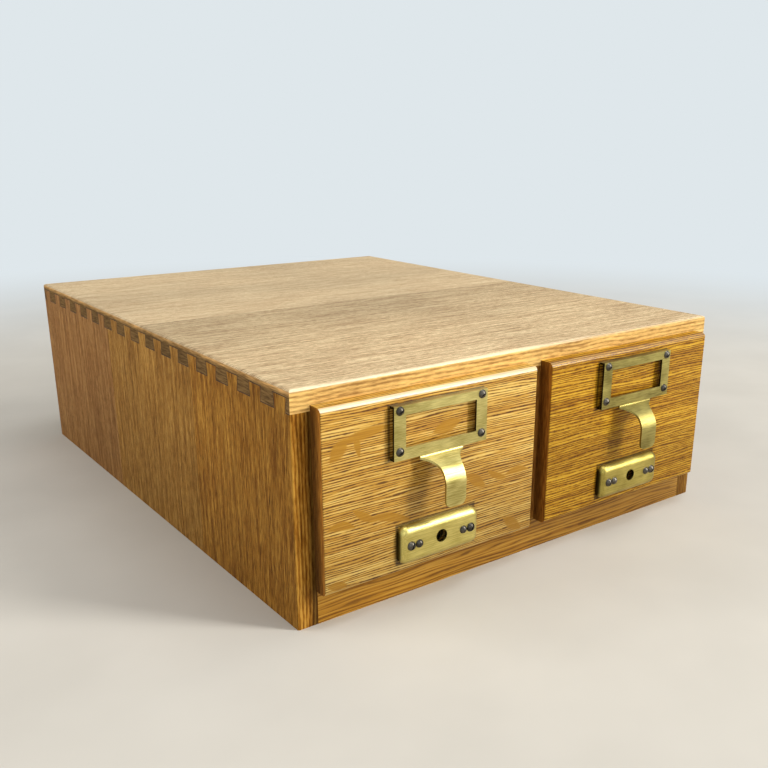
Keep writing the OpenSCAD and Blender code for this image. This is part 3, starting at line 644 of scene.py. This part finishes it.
# Drawers with their followers and fittings
STEEL_PARTS = (
    "drawer_brads", "label_screws", "rod_plate_screws", "rod_plate_rivets", "follower_brace",
    "follower_runner", "follower_screws", "follower_rivets",
)
for side in ("left", "right"):
    for part in ("drawer_left_wall", "drawer_right_wall"):
        dress(f"{side}_{part}", oak_inside)
    for part in ("drawer_back", "follower_board"):
        dress(f"{side}_{part}", oak_cross)
    dress(f"{side}_drawer_bottom", plywood)
    dress(f"{side}_label_pull", PULL_BRASS[side], PULL_EASE)
    dress(f"{side}_rod_plate", PLATE_BRASS[side])
    dress(f"{side}_rod_bush", aged_brass)
    for part in STEEL_PARTS:
        dress(f"{side}_{part}", steel)


def add(name, bm, material):
    """Turns a mesh that was built here into an object of the scene."""
    mesh = bpy.data.meshes.new(name)
    bm.to_mesh(mesh)
    bm.free()
    mesh.materials.append(material)
    obj = bpy.data.objects.new(name, mesh)
    scene.collection.objects.link(obj)
    return obj


# Dark glue lines round the dovetails; a corner is drawn out no further than MITRE_LEAST allows
MITRE_LEAST = 0.4


def ribbon(name, points, out, width, rise, material, body):
    """A thin line laid along points on a flat face; out is the way the face looks."""
    bm = bmesh.new()
    rings = []
    for i, point in enumerate(points):
        after = (points[min(i + 1, len(points) - 1)] - points[min(i, len(points) - 2)]).normalized()
        before = (points[max(i, 1)] - points[max(i - 1, 0)]).normalized()
        side = out.cross((before + after).normalized())
        reach = width / 2 / max(MITRE_LEAST, side.dot(out.cross(after)))
        corners = ((-1, -rise), (-1, rise), (1, rise), (1, -rise))
        rings.append([bm.verts.new(point + s * reach * side + h * out) for s, h in corners])
    for a, b in zip(rings, rings[1:]):
        for k in range(4):
            bm.faces.new((a[k], a[k - 1], b[k - 1], b[k]))
    bm.faces.new(rings[0])
    bm.faces.new(rings[-1])
    bmesh.ops.recalc_face_normals(bm, faces=bm.faces)
    obj = add(name, bm, material)
    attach(obj, body)


def glue():
    s = Shader("glue_line")
    at = s.place(21)
    broken = s.noise([at[axis] for axis in "YZX"], (6, 6, 6), detail=3.0)
    colour = s.ramp(broken, (0.35, 0.65), (srgb(30, 18, 8), srgb(66, 42, 20)))
    s.set(Base_Color=colour, Roughness=0.85)
    return s.material


# Millimetres; the line keeps END_GAP clear of the front and the back of the cabinet
HALF_WIDTH = 160.0
FRONT_Y = -187.2
DEPTH = 400
END_GAP = 0.2
TAILS = 16
TAIL_PITCH = 25.4
FIRST_TAIL = 9.5
HALF_ROOT = 5.55
HALF_TIP = 6.55
ROOT_Z = 116.0
TIP_Z = 124.0
LINE_WIDTH = 0.45
LINE_RISE = 0.03
line = [(END_GAP, ROOT_Z)]
for i in range(TAILS):
    y = FIRST_TAIL + TAIL_PITCH * i
    line += [(y - HALF_ROOT, ROOT_Z), (y - HALF_TIP, TIP_Z)]
    line += [(y + HALF_TIP, TIP_Z), (y + HALF_ROOT, ROOT_Z)]
line.append((DEPTH - END_GAP, ROOT_Z))
glue_line = glue()
for side, way in (("left", -1), ("right", 1)):
    points = [Vector((way * HALF_WIDTH, y + FRONT_Y, z)) * MM for y, z in line]
    ribbon(f"{side}_dovetail_line", points, Vector((way, 0, 0)), LINE_WIDTH * MM, LINE_RISE * MM,
           glue_line, "cabinet")


# Stage: a pale floor that runs out into the pale background
def seen(tree):
    """One for rays from the camera, and for those mirrored or passed on to it."""
    path = tree.nodes.new("ShaderNodeLightPath")
    total = path.outputs["Is Camera Ray"]
    for name in ("Is Glossy Ray", "Is Transmission Ray"):
        made = tree.nodes.new("ShaderNodeMath")
        made.operation = "MAXIMUM"
        tree.links.new(total, made.inputs[0])
        tree.links.new(path.outputs[name], made.inputs[1])
        total = made.outputs[0]
    return total


# The floor's radius is in metres, and where it runs out in millimetres from the middle
BACKGROUND = srgb(223, 231, 235)
FLOOR_RADIUS = 12
FLOOR_FADE = (420, 1300)


def floor_material():
    s = Shader("floor_pale")
    cloud = s.noise(s.flat.values(), (90, 90, 90), detail=3.0)
    colour = s.ramp(cloud, (0.3, 0.7), (srgb(205, 202, 194), srgb(212, 209, 201)))
    s.set(Base_Color=colour, Roughness=0.9)
    x, y = s.flat["X"], s.flat["Y"]
    away = s.math("POWER", s.times_plus(x, x, s.times(y, y)), 0.5)
    glow = s.node("ShaderNodeEmission")
    glow.inputs[0].default_value = BACKGROUND
    both = s.node("ShaderNodeMixShader")
    s.put(both.inputs[0], s.times(s.step(away, *FLOOR_FADE), seen(s.tree)))
    s.put(both.inputs[1], s.bsdf.outputs[0])
    s.put(both.inputs[2], glow.outputs[0])
    s.put(s.out.inputs["Surface"], both.outputs[0])
    return s.material


disc = bmesh.new()
bmesh.ops.create_circle(disc, cap_ends=True, radius=FLOOR_RADIUS, segments=96)
floor = add("floor", disc, floor_material())

# Light
WORLD_COLOUR = (1.0, 0.93, 0.82, 1.0)
WORLD_STRENGTH = 0.21
world = bpy.data.worlds.new("studio")
scene.world = world
world.use_nodes = True
tree = world.node_tree
light = tree.nodes["Background"]
light.inputs[0].default_value = WORLD_COLOUR
light.inputs[1].default_value = WORLD_STRENGTH
back = tree.nodes.new("ShaderNodeBackground")
back.inputs[0].default_value = BACKGROUND
both = tree.nodes.new("ShaderNodeMixShader")
tree.links.new(seen(tree), both.inputs[0])
tree.links.new(light.outputs[0], both.inputs[1])
tree.links.new(back.outputs[0], both.inputs[2])
tree.links.new(both.outputs[0], tree.nodes["World Output"].inputs["Surface"])


def lamp(name, place, target, wide, tall, power, colour):
    """A rectangular lamp that looks at target. Lengths are in metres and power in watts."""
    data = bpy.data.lights.new(name, "AREA")
    data.shape = "RECTANGLE"
    data.size = wide
    data.size_y = tall
    data.energy = power
    data.color = colour
    obj = bpy.data.objects.new(name, data)
    obj.location = place
    obj.rotation_euler = (Vector(target) - Vector(place)).to_track_quat("-Z", "Y").to_euler()
    scene.collection.objects.link(obj)


lamp("window", (1.36, -1.73, 1.15), (0, -0.1, 0.05), 0.5, 1.9, 58, (1.0, 0.97, 0.92))
lamp("fill", (-1.9, 0.9, 1.1), (0, 0, 0.05), 1.4, 1.4, 24, (1.0, 0.98, 0.95))
lamp("left", (-1.1, -2.0, 0.9), (0, 0, 0.05), 1.2, 1.2, 5, (1.0, 0.97, 0.92))
lamp("ceiling", (0.3, -0.5, 2.0), (0, 0, 0), 1.6, 0.7, 14, (0.97, 0.98, 1.0))

# Camera, fitted to the edges of the cabinet in the photo; angles are in degrees
CAMERA_PLACE = (-0.3564, -0.5428, 0.2400)
CAMERA_TURN = (71.83, -0.20, -36.89)
data = bpy.data.cameras.new("camera")
data.sensor_width = 36
data.lens = 41.70
data.shift_x = -0.0336
data.shift_y = 0.0621
data.clip_start = 0.01
camera = bpy.data.objects.new("camera", data)
camera.location = CAMERA_PLACE
camera.rotation_euler = Euler([math.radians(angle) for angle in CAMERA_TURN], "XYZ")
scene.collection.objects.link(camera)
scene.camera = camera
scene.view_settings.view_transform = "Standard"
